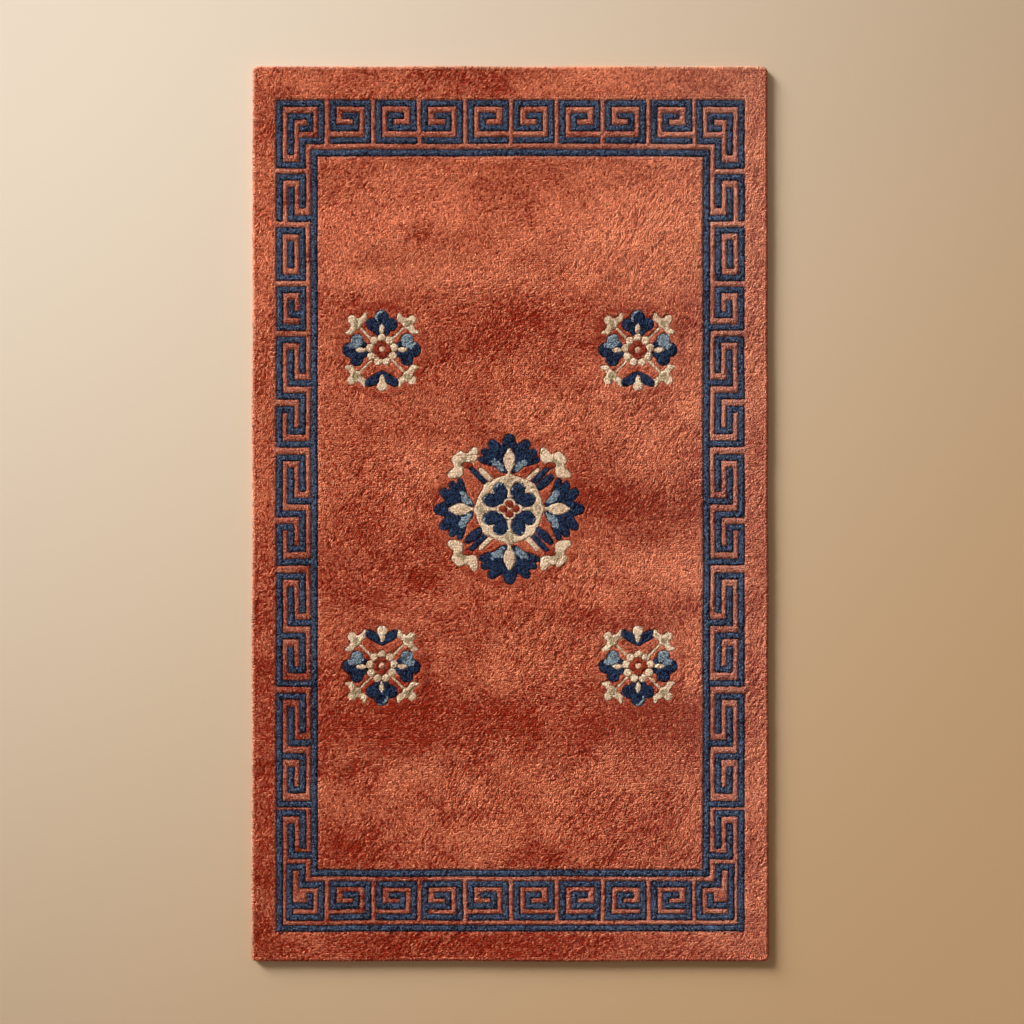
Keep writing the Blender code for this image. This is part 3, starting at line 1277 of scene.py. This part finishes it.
def rounded_net(inset, cell, border):
    """A net of points inside the outline, with its corners drawn in, as two arrays."""
    xs = stops(1.0, cell / (WIDTH / 2), [b / (WIDTH / 2) for b in border])
    ys = stops(1.0, cell / (LENGTH / 2), [b / (LENGTH / 2) for b in border])
    s, t = np.meshgrid(xs, ys)
    half_x, half_y = WIDTH / 2 - inset, LENGTH / 2 - inset
    x, y = s * half_x, t * half_y
    a = np.maximum(np.abs(x) - (half_x - CORNER), 0) / CORNER
    b = np.maximum(np.abs(y) - (half_y - CORNER), 0) / CORNER
    x = np.sign(x) * (np.minimum(np.abs(x), half_x - CORNER) + CORNER * a * np.sqrt(1 - b * b / 2))
    y = np.sign(y) * (np.minimum(np.abs(y), half_y - CORNER) + CORNER * b * np.sqrt(1 - a * a / 2))
    side_x = np.where(x > 0, np.interp(y, *RIGHT), -np.interp(y, *LEFT)) - WIDTH / 2
    side_y = np.where(y > 0, np.interp(x, *FAR), -np.interp(x, *NEAR)) - LENGTH / 2
    x = x * (1 + side_x / half_x)
    y = y * (1 + side_y / half_y)
    return x, y


print("rows and columns of a net with cells of 10 cm:", rounded_net(0.0, 0.1, (0.0, 0.01))[0].shape)


# %% Close a net into a body
def closed_net(name, x, y, z, under, under_inset, downward=False):
    """The net at heights z, walls down its rim and one flat face at under. Downward turns it over."""
    rows, columns = x.shape
    mesh = bpy.data.meshes.new(name)
    top = np.stack([x.ravel(), y.ravel(), z.ravel()], 1)
    index = np.arange(rows * columns).reshape(rows, columns)
    rim = np.concatenate([index[0, :], index[1:, -1], index[-1, -2::-1], index[-2:0:-1, 0]])
    foot = top[rim].copy()
    foot[:, :2] *= 1 - under_inset / np.array([WIDTH / 2, LENGTH / 2])
    foot[:, 2] = under
    quads = np.stack([index[:-1, :-1], index[:-1, 1:], index[1:, 1:], index[1:, :-1]], -1)
    faces = quads.reshape(-1, 4).tolist()
    count, start = len(rim), len(top)
    for k in range(count):
        n = (k + 1) % count
        faces.append([int(rim[k]), start + k, start + n, int(rim[n])])
    faces.append([start + k for k in reversed(range(count))])
    if downward:
        faces = [face[::-1] for face in faces]
    mesh.from_pydata(np.vstack([top, foot]).tolist(), [], faces)
    mesh.shade_smooth()
    mesh.set_sharp_from_angle(angle=math.radians(50))
    piece = bpy.data.objects.new(name, mesh)
    bpy.context.scene.collection.objects.link(piece)
    print(f"{name}: {sum(len(p.vertices) - 2 for p in mesh.polygons)} triangles")
    return piece


def colour_points(piece, seed):
    """Gives every point of the piece the yarn that the chart has there."""
    points = np.array([v.co[:] for v in piece.data.vertices])
    x, y = points[:, 0], points[:, 1]
    yarn = chart(x, y)[0]
    uncarved = np.full(len(x), 0.1)
    colour = yarn_colour(x, y, yarn, uncarved, np.random.default_rng(seed))
    rgba = np.concatenate([colour, np.ones((len(x), 1))], 1)
    piece.data.attributes.new("yarn", "FLOAT_COLOR", "POINT").data.foreach_set("color", rgba.ravel())


# %% Make the body of the pile
BODY_CELL = 7.0 * MM
BODY_SINK = 4.2 * MM
BODY_INSET = 2.2 * MM
BODY_BORDER = (0.0, 0.4 * MM, 1.2 * MM, 2.6 * MM, 4.6 * MM, 7.5 * MM, 12.0 * MM)
BACK_TOP = 2.7 * MM

body_x, body_y = rounded_net(BODY_INSET, BODY_CELL, BODY_BORDER)
body_d = np.maximum(edge_distance(body_x, body_y) - BODY_INSET, 0)
body_fall = DROP * (1 - np.sqrt(1 - np.clip(1 - body_d / REACH, 0, 1) ** 2))
body_z = HEIGHT - BODY_SINK - body_fall
pile_body = closed_net("pile_body", body_x, body_y, body_z, BACK_TOP - 0.3 * MM, 0.5 * MM)
colour_points(pile_body, 108)
# Painted shade: the body's wool is half as bright as the tufts' colour, for the gaps between them.
pile_body.data.materials.append(wool_material("wool_body", 0.5, 500.0, 0.0))

# %% Make the woven back
BACK_CELL = 10.0 * MM
BACK_INSET = 3.4 * MM
BACK_BORDER = (0.0, 5.0 * MM)
COTTON = (0.42, 0.34, 0.24, 1.0)
LOOP_SCALE = 46.0


def back_material():
    """Rows of knot loops over cotton, seen from below."""
    back = bpy.data.materials.new("woven_back")
    back.use_nodes = True
    tree = back.node_tree
    shader = tree.nodes["Principled BSDF"]
    shader.inputs["Roughness"].default_value = 0.95
    yarn = add(tree, "ShaderNodeAttribute", attribute_name="yarn")
    where = add(tree, "ShaderNodeTexCoord")
    loops = add(tree, "ShaderNodeTexWave", wave_type="BANDS", bands_direction="X")
    loops.inputs["Scale"].default_value = LOOP_SCALE
    rows = add(tree, "ShaderNodeTexWave", wave_type="BANDS", bands_direction="Y")
    rows.inputs["Scale"].default_value = LOOP_SCALE
    for bands in (loops, rows):
        bands.inputs["Distortion"].default_value = 1.2
        bands.inputs["Detail"].default_value = 2.0
        wire(tree, (where.outputs["Object"], bands.inputs["Vector"]))
    woven = maths(tree, "MULTIPLY", loops.outputs["Fac"], rows.outputs["Fac"])
    mixed = add(tree, "ShaderNodeMix", data_type="RGBA")
    mixed.inputs["A"].default_value = COTTON
    raised = add(tree, "ShaderNodeBump")
    raised.inputs["Strength"].default_value = 0.6
    raised.inputs["Distance"].default_value = 0.6 * MM
    wire(
        tree,
        (maths(tree, "POWER", woven, 0.25), mixed.inputs["Factor"]),
        (yarn.outputs["Color"], mixed.inputs["B"]),
        (mixed.outputs["Result"], shader.inputs["Base Color"]),
        (woven, raised.inputs["Height"]),
        (raised.outputs["Normal"], shader.inputs["Normal"]),
    )
    return back


back_x, back_y = rounded_net(BACK_INSET, BACK_CELL, BACK_BORDER)
woven_back = closed_net("woven_back", back_x, back_y, np.zeros(back_x.shape), BACK_TOP, -1.2 * MM, True)
colour_points(woven_back, 109)
woven_back.data.materials.append(back_material())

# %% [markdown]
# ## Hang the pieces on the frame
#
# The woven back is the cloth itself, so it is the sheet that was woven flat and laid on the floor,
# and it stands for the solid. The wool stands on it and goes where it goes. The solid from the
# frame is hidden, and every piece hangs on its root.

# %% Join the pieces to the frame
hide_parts("rug")
for piece in [woven_back, pile_body] + PILE:
    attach(piece, "root")
total = sum(len(p.vertices) - 2 for piece in [woven_back, pile_body] + PILE for p in piece.data.polygons)
print(total, "triangles in all")

# %% [markdown]
# ## Floor, light and camera
#
# The camera hangs straight over the rug. Soft daylight comes low from the far left, so that the
# carving and the pile's edge throw short shadows to the near right, and the room fills them in. A
# large square light near by stands for the window and makes that corner the brightest. The floor
# is plain, but its colour carries painted light: pale towards the window and darker tan away from
# it, a painted falloff of the window's light. That is simpler than shaping the light's falloff,
# and it looks the same from every side.

# %% Paint the floor, with the window's light painted on it
FLOOR_IN_PAINTED_SHADE = (0.560, 0.370, 0.205, 1.0)
FLOOR_IN_PAINTED_LIGHT = (0.785, 0.690, 0.570, 1.0)
TO_WINDOW = (-0.6, 0.6, 0.0)


def floor_material():
    painted_falloff = bpy.data.materials.new("pale_floor")
    painted_falloff.use_nodes = True
    tree = painted_falloff.node_tree
    shader = tree.nodes["Principled BSDF"]
    place = add(tree, "ShaderNodeTexCoord")
    # Painted light: the colour is pale towards the window and darker tan away from it.
    to_window = add(tree, "ShaderNodeVectorMath", operation="DOT_PRODUCT")
    to_window.inputs[1].default_value = TO_WINDOW
    ramp = add(tree, "ShaderNodeMapRange", interpolation_type="SMOOTHSTEP")
    ramp.inputs["From Min"].default_value = -1.0
    ramp.inputs["From Max"].default_value = 1.3
    blend = add(tree, "ShaderNodeMix", data_type="RGBA")
    blend.inputs["A"].default_value = FLOOR_IN_PAINTED_SHADE
    blend.inputs["B"].default_value = FLOOR_IN_PAINTED_LIGHT
    shader.inputs["Roughness"].default_value = 1.0
    shader.inputs["Specular IOR Level"].default_value = 0.0
    wire(
        tree,
        (place.outputs["Object"], to_window.inputs[0]),
        (to_window.outputs["Value"], ramp.inputs["Value"]),
        (ramp.outputs["Result"], blend.inputs["Factor"]),
        (blend.outputs["Result"], shader.inputs["Base Color"]),
    )
    return painted_falloff


floor_painted_light = floor_material()
print("painted", floor_painted_light.name)

# %% Lay the floor
FLOOR_HALF = 60.0
FLOOR_GAP = 0.3 * MM
floor_mesh = bpy.data.meshes.new("floor")
floor_corners = [(x * FLOOR_HALF, y * FLOOR_HALF, 0) for x, y in ((-1, -1), (1, -1), (1, 1), (-1, 1))]
floor_mesh.from_pydata(floor_corners, [], [(0, 1, 2, 3)])
floor_mesh.materials.append(floor_painted_light)
floor = bpy.data.objects.new("floor", floor_mesh)
floor.location.z = -FLOOR_GAP
bpy.context.scene.collection.objects.link(floor)
print(f"a floor {2 * FLOOR_HALF:.0f} m square")

# %% Let the daylight in
SUN_TURN = math.radians(135)  # from +X towards +Y
SUN_HEIGHT = math.radians(19)  # above the floor


def aim(light, place, target):
    light.location = place
    light.rotation_euler = (Vector(target) - Vector(place)).to_track_quat("-Z", "Y").to_euler()
    bpy.context.scene.collection.objects.link(light)


def daylight(strength, softness, colour):
    """An even light from far off, so that the floor is lit as far as one can see."""
    data = bpy.data.lights.new("daylight", "SUN")
    data.energy = strength
    data.angle = math.radians(softness)
    data.color = colour
    out = math.cos(SUN_HEIGHT)
    place = (3 * out * math.cos(SUN_TURN), 3 * out * math.sin(SUN_TURN), 3 * math.sin(SUN_HEIGHT))
    aim(bpy.data.objects.new("daylight", data), place, (0, 0, 0))


daylight(strength=1.79, softness=22, colour=(1.0, 0.94, 0.84))
print(f"daylight {math.degrees(SUN_HEIGHT):.0f} degrees above the floor")


# %% Add the window's own light and the room's
ROOM_COLOUR = (1.0, 0.82, 0.66, 1.0)
ROOM_STRENGTH = 0.28


def window_light(place, size, watts, spread, colour):
    """A large square light near by, which makes one corner of the floor the brightest."""
    data = bpy.data.lights.new("window", "AREA")
    data.shape = "SQUARE"
    data.size = size
    data.energy = watts
    data.spread = math.radians(spread)
    data.color = colour
    aim(bpy.data.objects.new("window", data), place, (0, 0, 0))


window_light(place=(-4.1, 4.0, 2.2), size=2.8, watts=51.0, spread=44, colour=(0.95, 0.98, 1.0))
room = bpy.data.worlds.new("room")
room.use_nodes = True
room.node_tree.nodes["Background"].inputs["Color"].default_value = ROOM_COLOUR
room.node_tree.nodes["Background"].inputs["Strength"].default_value = ROOM_STRENGTH
bpy.context.scene.world = room
bpy.context.scene.view_settings.view_transform = "Standard"
print(len(bpy.data.lights), "lights, and a room that fills the shadows with", ROOM_STRENGTH)

# %% Hang the camera
CAMERA_PLACE = (0.0036, 0.0033, 3.05)
CAMERA_LENS = 60.0
camera_data = bpy.data.cameras.new("overhead")
camera_data.lens = CAMERA_LENS
camera = bpy.data.objects.new("overhead", camera_data)
camera.location = CAMERA_PLACE
bpy.context.scene.collection.objects.link(camera)
bpy.context.scene.camera = camera
print(f"camera {CAMERA_PLACE[2]} m up")
